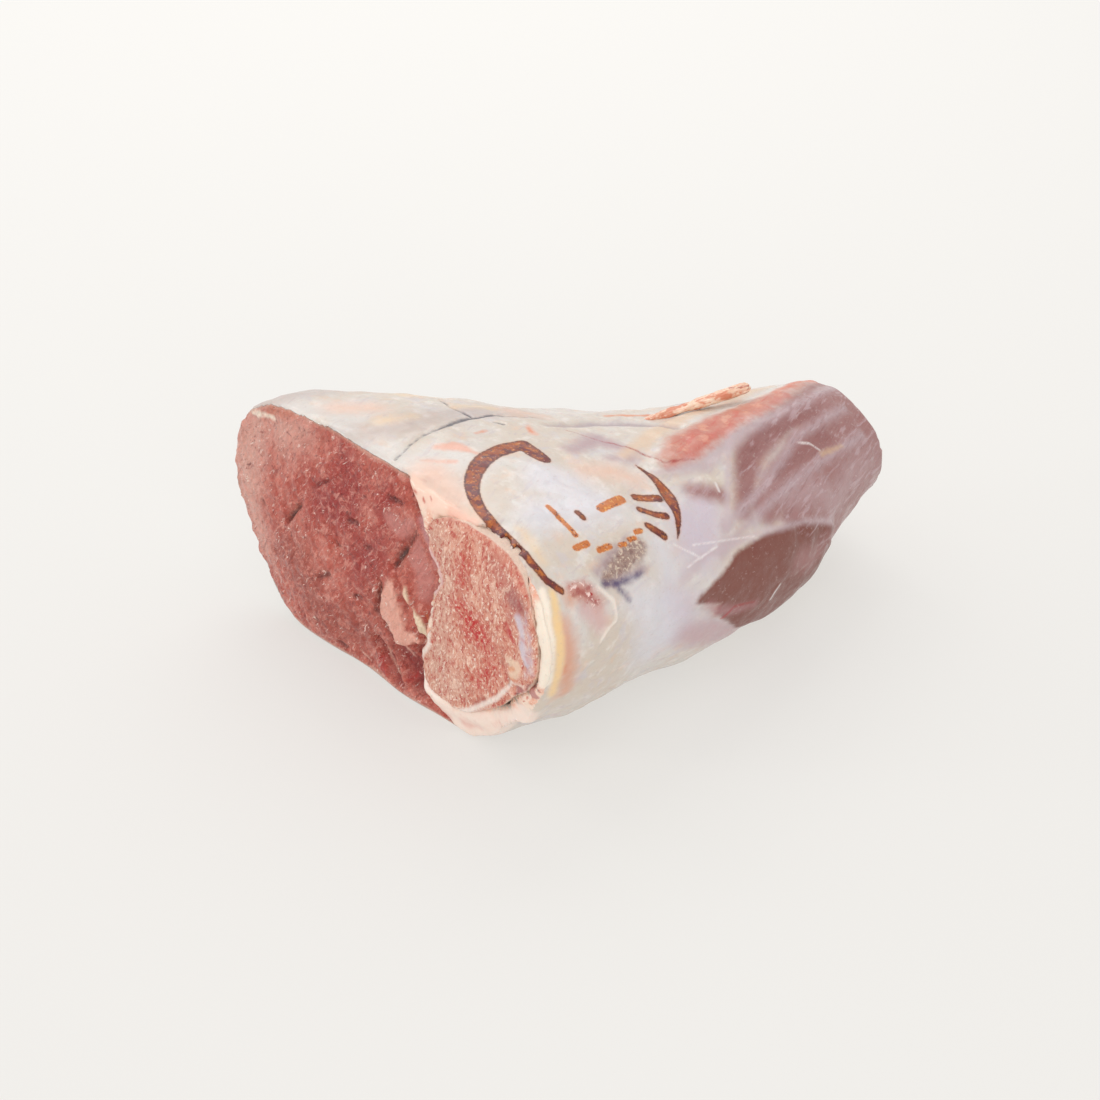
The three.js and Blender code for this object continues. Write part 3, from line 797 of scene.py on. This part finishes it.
def make_meat():
    piece = copy_of_node("meat", "lamb_meat")
    blank = points_of(piece)
    knee_outline = face_outline(blank, KNEE_X)
    hock_outline = face_outline(blank, HOCK_X)
    finer_skin(piece, MEAT_VOXEL, 4)
    halve_faces(piece, skin_faces(piece, in_tunnel(points_of(piece), normals_of(piece))))

    points = points_of(piece)
    normals = normals_of(piece)
    tunnel_wall = in_tunnel(points, normals)
    at_knee = smooth_ramp(points[:, 0], KNEE_X + 4, KNEE_X + 1)
    points = points + normals * ((0.5 + 0.8 * at_knee) * tunnel_wall)[:, None]
    knee = cut_depth(points, knee_outline, KNEE_X - points[:, 0])
    hock = cut_depth(points, hock_outline, points[:, 0] - HOCK_X)
    from_outline = outline_distance(points[:, 1:], knee_outline)
    points = shape_bone_head(points, smooth_ramp(from_outline, 0, 2.5))
    set_points(piece, nudged(points))
    normals = normals_of(piece)

    muscle_side = points[:, 1] - eased(points[:, 2], MUSCLE_EDGE, 2)
    knee_muscle = np.minimum(knee, muscle_side)
    skin = 1 - tunnel_wall
    on_cut = smooth_ramp(knee, -0.6, 0.6)
    on_muscle = smooth_ramp(knee_muscle, -0.3, 0.6) * skin
    on_hock = smooth_ramp(hock, -0.4, 0.6) * skin
    outside = (1 - on_cut) * (1 - on_hock) * skin
    beside_bone = (on_cut - on_muscle).clip(0) * skin

    rise = 0.7 * rough_field(points, 17, 3, 0.0, outside)
    rise += 0.16 * rough_field(points, 4.5, 2, 3.0, outside)
    surface = solid_surface("meat")
    rise += store_marks(piece, points, LEAN_MARKS + FAT_MARKS, surface) * outside
    rough = smooth_ramp(stroke_depth(points, find_mark("rough_dark").strokes), -0.5, 1)
    rise += 0.35 * rough_field(points, 1.4, 2, 5.0, rough) * rough

    along_fibre = points * (1, 1, 0.6)
    flesh = 0.5 * rough_field(points, 9, 2, 7.0, on_muscle)
    flesh += 0.3 * rough_field(along_fibre, 2.4, 2, 9.0, on_muscle)
    flesh += 0.22 * rough_field(along_fibre, 1.2, 2, 10.0, on_muscle)
    flesh += 0.35 * bundle_field(along_fibre, 2.3, on_muscle)
    flesh += store_marks(piece, points, FLESH_MARKS)
    flesh -= 0.8 * smooth_ramp(muscle_side, 3.5, 0)
    rise += flesh * on_muscle

    radius, angles, wanted = round_bone(points)
    from_bone = radius - wanted
    rise += store_marks(piece, points, RIM_MARKS) * beside_bone
    lip_rise = 1.0 * smooth_ramp(from_bone, 6, 1) + 0.35 * rough_field(points, 3, 2, 11.0, beside_bone)
    rise += lip_rise * beside_bone
    rise += 0.4 * rough_field(points, 4, 2, 12.0, on_hock) * on_hock

    # The edge beside the bone is rounded, and the muscle's edge is crisp.
    from_edge = np.abs(knee)
    rounding = 0.3 * CORNER_ROUND * (1 - np.minimum(from_edge / CORNER_ROUND, 1)) ** 2
    rise -= rounding * smooth_ramp(muscle_side, 1, -6) * skin

    store(piece, "ink_dark", stroke_depth(points, dark_ink(surface)))
    store(piece, "ink_pale", stroke_depth(points, pale_ink(surface)))
    store(piece, "knee_cut", knee)
    store(piece, "knee_muscle", knee_muscle)
    store(piece, "hock_cut", hock)
    lifted = smooth_ramp(points[:, 2], 0.4, 5)
    moved = nudged(points) + normals * (rise * lifted)[:, None]
    # The lip of the cut closes on the bone.
    pull = 1.2 * smooth_ramp(from_bone, 2.4, 0.4) * on_cut * skin
    moved[:, 1] -= np.cos(angles) * pull
    moved[:, 2] -= np.sin(angles) * pull
    moved[:, 0] += set_back(points)
    moved[:, 2] = np.maximum(moved[:, 2], 0)
    set_points(piece, moved)
    near_knee = smooth_ramp(points[:, 0], KNEE_X + 7, KNEE_X + 4)
    ease_lip(piece, smooth_ramp(muscle_side, 0, -2) * near_knee)
    return piece


def ease_lip(piece, chosen):
    """Smooths the thin rim of fat round the sawn bone."""
    only(piece)
    group = piece.vertex_groups.new(name="lip")
    group.add([int(index) for index in np.flatnonzero(chosen > 0.5)], 1.0, "REPLACE")
    smooth = piece.modifiers.new("lip", "SMOOTH")
    smooth.factor = 0.5
    smooth.iterations = 5
    smooth.vertex_group = "lip"
    bpy.ops.object.modifier_apply(modifier="lip")


def find_mark(name):
    return next(mark for mark in FAT_MARKS if mark.name == name)


# ---------------------------------------------------------------- the bone

def make_bone():
    piece = copy_of_node("shank_bone", "sawn_bone")
    finer_skin(piece, BONE_VOXEL, 2)
    points = shape_bone_head(points_of(piece))
    set_points(piece, nudged(points))
    normals = normals_of(piece)
    out_of_face = np.maximum(KNEE_X - BONE_PROUD - points[:, 0], points[:, 0] - HOCK_X - BONE_PROUD)
    on_face = smooth_ramp(out_of_face, -0.8, -0.2)
    sponge = points * (1, 1, 0.6)
    rise = 0.2 * rough_field(points, 6, 2, 13.0, on_face)
    rise += 0.22 * rough_field(sponge, 1.1, 2, 15.0, on_face)
    rise += 0.2 * bundle_field(sponge, 1.5, on_face)
    rise += store_marks(piece, points, RIM_MARKS + BONE_MARKS)
    store(piece, "on_face", on_face)
    moved = nudged(points) + normals * (rise * on_face)[:, None]
    moved[:, 0] += set_back(points)
    set_points(piece, moved)
    return piece


# ---------------------------------------------------------------- the tendon's end

# Sections from where it leaves the skin to its cut end: middle (x, y, z), width and thickness in mm.
TENDON_SECTIONS = [
    ((3, -7.6, 47.6), 0.8, 0.4),
    ((8, -8.8, 47.0), 2.0, 1.0),
    ((13, -10.1, 46.9), 2.4, 1.3),
    ((19, -11.6, 47.0), 3.0, 1.7),
    ((25, -13.0, 47.2), 3.4, 2.3),
    ((31, -14.5, 47.4), 3.6, 2.6),
    ((36, -15.8, 47.8), 3.4, 2.7),
    ((38.3, -16.4, 48.1), 2.6, 2.1),
]


def make_tendon():
    """A flat tendon left lying along the shin, its cut end free."""
    bpy.ops.object.select_all(action="DESELECT")
    place, width, thickness = TENDON_SECTIONS[0]
    middle = Vector(place) * MM
    bpy.ops.mesh.primitive_circle_add(
        vertices=12, radius=MM / 2, fill_type="NGON", location=middle, rotation=(0, math.pi / 2, 0))
    piece = bpy.context.object
    piece.name = "tendon_end"
    bpy.ops.object.transform_apply(location=True, rotation=True, scale=True)
    bpy.ops.object.mode_set(mode="EDIT")
    bpy.ops.mesh.select_all(action="SELECT")
    bpy.ops.transform.resize(value=(1, width, thickness), center_override=middle)
    for place, new_width, new_thickness in TENDON_SECTIONS[1:]:
        step = Vector(place) * MM - middle
        middle = Vector(place) * MM
        bpy.ops.mesh.extrude_region_move(TRANSFORM_OT_translate={"value": step})
        grown = (1, new_width / width, new_thickness / thickness)
        bpy.ops.transform.resize(value=grown, center_override=middle)
        width, thickness = new_width, new_thickness
    bpy.ops.mesh.select_all(action="SELECT")
    bpy.ops.mesh.normals_make_consistent(inside=False)
    bpy.ops.object.mode_set(mode="OBJECT")
    rounded = piece.modifiers.new("rounded", "SUBSURF")
    rounded.levels = 3
    rounded.render_levels = 3
    bpy.ops.object.modifier_apply(modifier="rounded")
    points = points_of(piece)
    normals = normals_of(piece)
    strands = points * (0.25, 1, 1)
    rise = 0.22 * rough_field(strands, 1.0, 2, 21.0) + 0.3 * rough_field(points, 3.5, 2, 23.0)
    frayed = smooth_ramp(points[:, 0], 35, 38.5)
    rise += 0.5 * rough_field(points * (0.4, 1, 1), 0.8, 2, 25.0) * frayed
    set_points(piece, points + normals * rise[:, None])
    return piece


# ---------------------------------------------------------------- materials

class Paint:
    """Builds one material's nodes. Every pattern reads Object coordinates in millimetres."""

    def __init__(self, name):
        self.material = bpy.data.materials.new(name)
        self.material.use_nodes = True
        self.tree = self.material.node_tree
        self.shader = self.tree.nodes["Principled BSDF"]
        coordinates = self.tree.nodes.new("ShaderNodeTexCoord")
        self.place = self.stretched(coordinates.outputs["Object"], (1000, 1000, 1000))

    def put(self, socket, value):
        if isinstance(value, bpy.types.NodeSocket):
            self.tree.links.new(value, socket)
        else:
            socket.default_value = value

    def stretched(self, vector, scale, turn=(0, 0, 0)):
        mapping = self.tree.nodes.new("ShaderNodeMapping")
        self.put(mapping.inputs["Vector"], vector)
        mapping.inputs["Scale"].default_value = scale
        mapping.inputs["Rotation"].default_value = turn
        return mapping.outputs["Vector"]

    def along(self, turn, scale):
        """Coordinates turned by degrees about X, Y and Z, and then stretched."""
        turned = self.stretched(self.place, (1, 1, 1), [math.radians(angle) for angle in turn])
        return self.stretched(turned, scale)

    def attribute(self, name):
        found = self.tree.nodes.new("ShaderNodeAttribute")
        found.attribute_name = name
        return found.outputs["Fac"]

    def noise(self, size, detail=3, roughness=0.55, distortion=0.0, place=None):
        texture = self.tree.nodes.new("ShaderNodeTexNoise")
        self.put(texture.inputs["Vector"], place or self.place)
        texture.inputs["Scale"].default_value = 1 / size
        texture.inputs["Detail"].default_value = detail
        texture.inputs["Roughness"].default_value = roughness
        texture.inputs["Distortion"].default_value = distortion
        return texture.outputs["Fac"]

    def math(self, operation, first, second=0.0):
        step = self.tree.nodes.new("ShaderNodeMath")
        step.operation = operation
        self.put(step.inputs[0], first)
        self.put(step.inputs[1], second)
        return step.outputs[0]

    def part(self, share, amount):
        return self.math("MULTIPLY", share, amount)

    def ramp(self, value, low, high, to_low=0.0, to_high=1.0):
        step = self.tree.nodes.new("ShaderNodeMapRange")
        step.interpolation_type = "SMOOTHSTEP"
        self.put(step.inputs["Value"], value)
        step.inputs["From Min"].default_value = low
        step.inputs["From Max"].default_value = high
        step.inputs["To Min"].default_value = to_low
        step.inputs["To Max"].default_value = to_high
        return step.outputs["Result"]

    def mix(self, share, under, over, blend="MIX"):
        step = self.tree.nodes.new("ShaderNodeMix")
        step.data_type = "RGBA"
        step.blend_type = blend
        self.put(step.inputs[0], share)
        self.put(step.inputs[6], under)
        self.put(step.inputs[7], over)
        return step.outputs[2]

    def speckle(self, colour, pattern, low, high, speck, where=None):
        """Lays a tone over a colour where a pattern runs from low to high."""
        share = self.ramp(pattern, low, high)
        if where is not None:
            share = self.part(share, where)
        return self.mix(share, colour, speck)

    def bump(self, height, distance, under=None):
        step = self.tree.nodes.new("ShaderNodeBump")
        step.inputs["Distance"].default_value = distance * MM
        self.put(step.inputs["Height"], height)
        if under is not None:
            self.put(step.inputs["Normal"], under)
        return step.outputs["Normal"]

    def mask(self, name, soft, wander, strength, stray):
        """A mark's share of the colour: its edge strays by wander and fades over soft."""
        strayed = self.math("MULTIPLY_ADD", stray, 2 * wander)
        strayed.node.inputs[2].default_value = -wander
        depth = self.math("ADD", self.attribute(name), strayed)
        return self.ramp(depth, -soft, soft, 0, strength)

    def marks(self, colour, marks, stray):
        for mark in marks:
            share = self.mask(mark.name, mark.soft, mark.wander, mark.strength, stray)
            colour = self.mix(share, colour, mark.colour)
        return colour

    def finish(self, colour, roughness, normal, coat, coat_roughness, subsurface, radius):
        shader = self.shader.inputs
        self.put(shader["Base Color"], colour)
        self.put(shader["Roughness"], roughness)
        self.put(shader["Normal"], normal)
        shader["Coat Weight"].default_value = coat
        shader["Coat Roughness"].default_value = coat_roughness
        shader["Subsurface Weight"].default_value = subsurface
        shader["Subsurface Radius"].default_value = radius
        shader["Subsurface Scale"].default_value = MM
        return self.material


def skin_colour(paint, stray, knee_share):
    """Fat and silverskin over muscle. Next to the bone it is the same fat, cut."""
    mottle = paint.noise(3.5, 4, 0.6)
    fine = paint.noise(0.9, 3, 0.6)
    wisps = paint.noise(1.6, 4, 0.6, 0.4, paint.along((0, 0, -20), (0.22, 1, 1)))
    fibre = paint.noise(0.55, 3, 0.6, 0.2, paint.along((0, 8, -20), (0.1, 1, 1)))

    fat = paint.mix(paint.ramp(paint.noise(16, 3), 0.38, 0.62), tone(210, 203, 197), tone(207, 194, 181))
    fat = paint.speckle(fat, mottle, 0.5, 0.7, tone(226, 219, 212), 0.6)
    fat = paint.speckle(fat, paint.noise(6, 4, 0.6), 0.54, 0.7, tone(222, 186, 160), 0.4)
    fat = paint.speckle(fat, wisps, 0.55, 0.68, tone(192, 178, 180), 0.45)
    fat = paint.speckle(fat, paint.noise(9, 3, 0.6, 0.5), 0.45, 0.3, tone(198, 192, 202), 0.45)
    cut_fat = paint.speckle(tone(238, 212, 194), mottle, 0.45, 0.62, tone(230, 170, 146))
    cut_fat = paint.speckle(cut_fat, fine, 0.56, 0.66, tone(248, 234, 222), 0.7)
    cut_fat = paint.speckle(cut_fat, paint.noise(1.2, 3), 0.58, 0.68, tone(196, 92, 76), 0.7)
    colour = paint.mix(knee_share, fat, cut_fat)

    colour = paint.marks(colour, LEAN_MARKS, stray)
    lean_share = paint.ramp(paint.attribute("lean"), -1, 3)
    colour = paint.speckle(colour, fibre, 0.5, 0.75, tone(124, 78, 76), paint.part(lean_share, 0.35))
    colour = paint.speckle(colour, wisps, 0.52, 0.66, tone(198, 176, 180), paint.part(lean_share, 0.45))
    # Sparse near-white flecks on the lean: painted glints.
    colour = paint.speckle(colour, fine, 0.68, 0.76, tone(236, 222, 218), paint.part(lean_share, 0.4))
    shin_share = paint.ramp(paint.attribute("shin_bone"), -0.5, 2.5)
    colour = paint.speckle(colour, mottle, 0.5, 0.66, tone(222, 168, 142), paint.part(shin_share, 0.6))
    colour = paint.speckle(colour, wisps, 0.48, 0.36, tone(198, 98, 86), paint.part(shin_share, 0.5))
    colour = paint.marks(colour, FAT_MARKS, stray)
    rough_share = paint.ramp(paint.attribute("rough_dark"), -0.8, 1)
    grit = paint.noise(1.1, 4, 0.7, 0.6)
    colour = paint.speckle(colour, grit, 0.52, 0.6, tone(216, 198, 178), paint.part(rough_share, 0.8))
    colour = paint.speckle(colour, grit, 0.46, 0.36, tone(118, 88, 86), paint.part(rough_share, 0.5))
    bruise_share = paint.ramp(paint.attribute("bruise"), -1.5, 1)
    pale_clots = paint.noise(1.3, 4, 0.7, 0.6)
    colour = paint.speckle(colour, pale_clots, 0.54, 0.64, tone(240, 214, 206), bruise_share)
    red_clots = paint.noise(1.0, 4, 0.7, 0.6)
    colour = paint.speckle(colour, red_clots, 0.42, 0.32, tone(166, 64, 62), bruise_share)
    return paint.speckle(colour, fine, 0.4, 0.3, tone(190, 172, 166), 0.3)


def ink_over(paint, colour):
    """The burnt marks: brown, nearly black where they took best, and ochre where they are faint."""
    ragged = paint.noise(0.8, 3, 0.6)
    gaps = paint.ramp(paint.noise(1.1, 4, 0.7), 0.3, 0.4, 0.35, 1)
    brown = paint.mix(paint.ramp(paint.noise(4, 2), 0.42, 0.58), tone(118, 56, 30), tone(160, 90, 46))
    brown = paint.speckle(brown, paint.noise(1.3, 4, 0.7), 0.5, 0.62, tone(196, 122, 66), 0.75)
    brown = paint.speckle(brown, paint.noise(1.0, 4, 0.7, 0.5), 0.46, 0.34, tone(84, 34, 20), 0.8)
    ochre = paint.speckle(tone(196, 116, 52), paint.noise(1.0, 4, 0.7), 0.54, 0.64, tone(232, 168, 96), 0.8)
    ochre = paint.speckle(ochre, paint.noise(0.9, 4, 0.7, 0.5), 0.46, 0.36, tone(110, 46, 24), 0.9)
    colour = paint.mix(paint.mask("ink_dark", 0.7, 0.3, 0.55, ragged), colour, tone(216, 140, 84))
    colour = paint.mix(paint.mask("ink_pale", 0.6, 0.3, 0.35, ragged), colour, tone(236, 196, 150))
    pale_share = paint.mask("ink_pale", 0.2, 0.35, 0.95, ragged)
    colour = paint.mix(paint.part(pale_share, gaps), colour, ochre)
    edge = paint.ramp(paint.attribute("ink_dark"), 0.8, 0.1, 0, 0.55)
    brown = paint.mix(edge, brown, tone(72, 26, 16))
    dark_share = paint.mask("ink_dark", 0.2, 0.3, 1.0, ragged)
    return paint.mix(paint.part(dark_share, gaps), colour, brown)


def flesh_colour(paint, stray, fibre_ends, grain_and_glints):
    """Cut muscle: fibre ends seen end on, redder in the middle, with pale seams and flecks, near-white
    flecks painted on as glints, and painted shade in its clefts, pits and hollows.
    """
    broad = paint.noise(6, 4, 0.6)
    flesh = paint.mix(paint.ramp(broad, 0.38, 0.62), tone(184, 92, 80), tone(204, 120, 106))
    flesh = paint.marks(flesh, FLESH_MARKS[:3], stray)
    flesh = paint.speckle(flesh, paint.noise(3, 4, 0.65, 0.8), 0.54, 0.66, tone(220, 150, 136), 0.55)
    flesh = paint.speckle(flesh, fibre_ends, 0.52, 0.66, tone(228, 162, 148), 0.6)
    flesh = paint.speckle(flesh, fibre_ends, 0.46, 0.3, tone(132, 36, 32), 0.6)
    flesh = paint.speckle(flesh, paint.noise(2.0, 4, 0.7, 0.8), 0.42, 0.3, tone(112, 26, 26), 0.6)
    flesh = paint.marks(flesh, FLESH_MARKS[3:], stray)
    # Near-white flecks in clumps: painted glints of the wet surface.
    glint_clumps = paint.ramp(paint.noise(5, 3), 0.45, 0.6, 0.25, 0.85)
    return paint.speckle(flesh, grain_and_glints, 0.6, 0.68, tone(254, 232, 220), glint_clumps)


def meat_material():
    paint = Paint("raw_lamb")
    stray = paint.noise(2.4, 4, 0.6)
    grain_and_glints = paint.noise(0.9, 3, 0.7, 0.9, paint.along((-33, 0, 0), (1, 1, 0.4)))
    fibre_ends = paint.noise(1.1, 4, 0.7, 0.8, paint.along((-33, 0, 0), (1, 1, 0.35)))
    fibre = paint.noise(0.7, 3, 0.6, 0.2, paint.along((0, 8, -20), (0.12, 1, 1)))

    knee_share = paint.mask("knee_cut", 0.3, 0.5, 1.0, stray)
    muscle_share = paint.mask("knee_muscle", 0.3, 0.6, 1.0, stray)
    hock_share = paint.mask("hock_cut", 0.3, 0.6, 1.0, stray)

    colour = skin_colour(paint, stray, knee_share)
    colour = paint.marks(colour, RIM_MARKS, stray)
    colour = ink_over(paint, colour)
    flesh = flesh_colour(paint, stray, fibre_ends, grain_and_glints)
    rim = paint.ramp(paint.attribute("knee_cut"), 1.6, 0.3, 0, 0.8)
    flesh = paint.mix(rim, flesh, tone(218, 166, 148))
    colour = paint.mix(muscle_share, colour, flesh)
    hock_flesh = paint.mix(paint.ramp(paint.noise(4, 3), 0.4, 0.6), tone(164, 88, 84), tone(196, 140, 130))
    hock_flesh = paint.speckle(hock_flesh, fibre_ends, 0.5, 0.7, tone(224, 190, 180), 0.6)
    colour = paint.mix(hock_share, colour, hock_flesh)

    roughness = paint.ramp(paint.noise(2.0, 3), 0.35, 0.65, 0.4, 0.58)
    ends_height = paint.math("MULTIPLY", paint.math("ADD", fibre_ends, grain_and_glints), muscle_share)
    normal = paint.bump(ends_height, 0.7)
    normal = paint.bump(fibre, 0.06, normal)
    normal = paint.bump(paint.noise(1.6, 3), 0.14, normal)
    return paint.finish(colour, roughness, normal, 0.35, 0.12, 0.1, (1.4, 0.5, 0.35))


def bone_material():
    paint = Paint("sawn_bone")
    stray = paint.noise(1.8, 4, 0.6)
    sponge = paint.noise(1.0, 4, 0.7, 0.6, paint.along((-8, 0, 0), (1, 1, 0.55)))
    fine = paint.noise(0.6, 2, 0.6, 0.0, paint.along((-8, 0, 0), (1, 1, 0.6)))
    bone = paint.mix(paint.ramp(paint.noise(5, 3), 0.38, 0.62), tone(224, 166, 146), tone(212, 144, 124))
    bone = paint.marks(bone, BONE_MARKS[:3], stray)
    bone = paint.speckle(bone, sponge, 0.48, 0.38, tone(184, 70, 54), 0.75)
    bone = paint.speckle(bone, sponge, 0.54, 0.62, tone(244, 210, 190), 0.7)
    bone = paint.speckle(bone, fine, 0.6, 0.67, tone(254, 236, 220), 0.75)
    marrow_share = paint.ramp(paint.attribute("marrow"), -3, 3)
    bone = paint.speckle(bone, paint.noise(1.1, 3, 0.7), 0.48, 0.55, tone(196, 56, 40), marrow_share)
    bone = paint.marks(bone, BONE_MARKS[3:] + RIM_MARKS, stray)
    side = paint.math("SUBTRACT", 1.0, paint.attribute("on_face"))
    bone = paint.mix(side, bone, tone(234, 206, 188))
    roughness = paint.ramp(paint.noise(1.4, 3), 0.35, 0.65, 0.4, 0.6)
    normal = paint.bump(paint.math("ADD", sponge, fine), 0.5)
    return paint.finish(bone, roughness, normal, 0.3, 0.16, 0.08, (1.2, 0.5, 0.35))


def tendon_material():
    paint = Paint("tendon")
    strands = paint.noise(0.6, 3, 0.6, 0.2, paint.along((0, 0, 13), (0.15, 1, 1)))
    patches = paint.noise(2.6, 4, 0.65, 0.4, paint.along((0, 0, 13), (0.5, 1, 1)))
    tendon = paint.mix(paint.ramp(strands, 0.35, 0.65), tone(226, 178, 152), tone(240, 214, 190))
    tendon = paint.speckle(tendon, patches, 0.5, 0.6, tone(206, 118, 88), 0.8)
    tendon = paint.speckle(tendon, patches, 0.42, 0.34, tone(168, 70, 52), 0.7)
    normal = paint.bump(strands, 0.15)
    return paint.finish(tendon, 0.4, normal, 0.4, 0.15, 0.12, (1.6, 0.6, 0.4))


# ---------------------------------------------------------------- stage

def make_stage():
    """A white sweep that glows a little, so the shadows stay as soft as in a light tent."""
    bpy.ops.mesh.primitive_plane_add(size=8, location=(0, 0, 0))
    floor = bpy.context.object
    floor.name = "floor"
    material = bpy.data.materials.new("pale_floor")
    material.use_nodes = True
    shader = material.node_tree.nodes["Principled BSDF"]
    shader.inputs["Base Color"].default_value = (0.31, 0.305, 0.295, 1)
    shader.inputs["Roughness"].default_value = 1.0
    shader.inputs["Specular IOR Level"].default_value = 0.0
    shader.inputs["Emission Color"].default_value = (1.0, 0.98, 0.945, 1)
    shader.inputs["Emission Strength"].default_value = 0.515
    floor.data.materials.append(material)

    world = bpy.data.worlds.new("studio")
    bpy.context.scene.world = world
    world.use_nodes = True
    world.node_tree.nodes["Background"].inputs["Color"].default_value = (1.0, 0.99, 0.98, 1)
    world.node_tree.nodes["Background"].inputs["Strength"].default_value = 0.8

    add_light("back", (-0.05, 0.6, 0.45), (0, 0, 0.03), 0.5, 0.8)
    add_light("left", (-0.62, 0.42, 0.2), (0, 0, 0.03), 0.16, 0.8)
    add_light("top", (0.05, -0.25, 0.9), (0, 0, 0.03), 0.4, 0.65)
    add_light("fill", (-0.45, -0.6, 0.35), (0, 0, 0.03), 0.6, 1.75)
    add_light("sweep", (0.3, 0.33, 0.42), (0.3, 0.33, 0), 0.5, 1.3)


def add_light(name, place, aim, size, power):
    light = bpy.data.lights.new(name, "AREA")
    light.size = size
    light.energy = power
    lamp = bpy.data.objects.new(name, light)
    bpy.context.scene.collection.objects.link(lamp)
    lamp.location = place
    lamp.rotation_euler = (Vector(aim) - Vector(place)).to_track_quat("-Z", "Y").to_euler()


def make_camera():
    """Looks along the leg from the knee end, from the left and above."""
    turn = math.radians(-42)
    height = math.radians(36)
    distance = 0.7275
    looks_at = Vector((-0.0125, -0.0019, 0.0165))
    back = Vector((math.sin(turn) * math.cos(height), -math.cos(turn) * math.cos(height), math.sin(height)))
    data = bpy.data.cameras.new("camera")
    data.lens = 100
    camera = bpy.data.objects.new("camera", data)
    bpy.context.scene.collection.objects.link(camera)
    camera.location = looks_at + back * distance
    camera.rotation_euler = (-back).to_track_quat("-Z", "Y").to_euler()
    bpy.context.scene.camera = camera


def dress(piece, material):
    piece.data.materials.append(material)
    only(piece)
    bpy.ops.object.shade_smooth()
    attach(piece, "root")
    return piece


make_stage()
make_camera()
bpy.context.scene.view_settings.view_transform = "Standard"

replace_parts(dress(make_meat(), meat_material()), "meat")
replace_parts(dress(make_bone(), bone_material()), "shank_bone")
dress(make_tendon(), tendon_material())
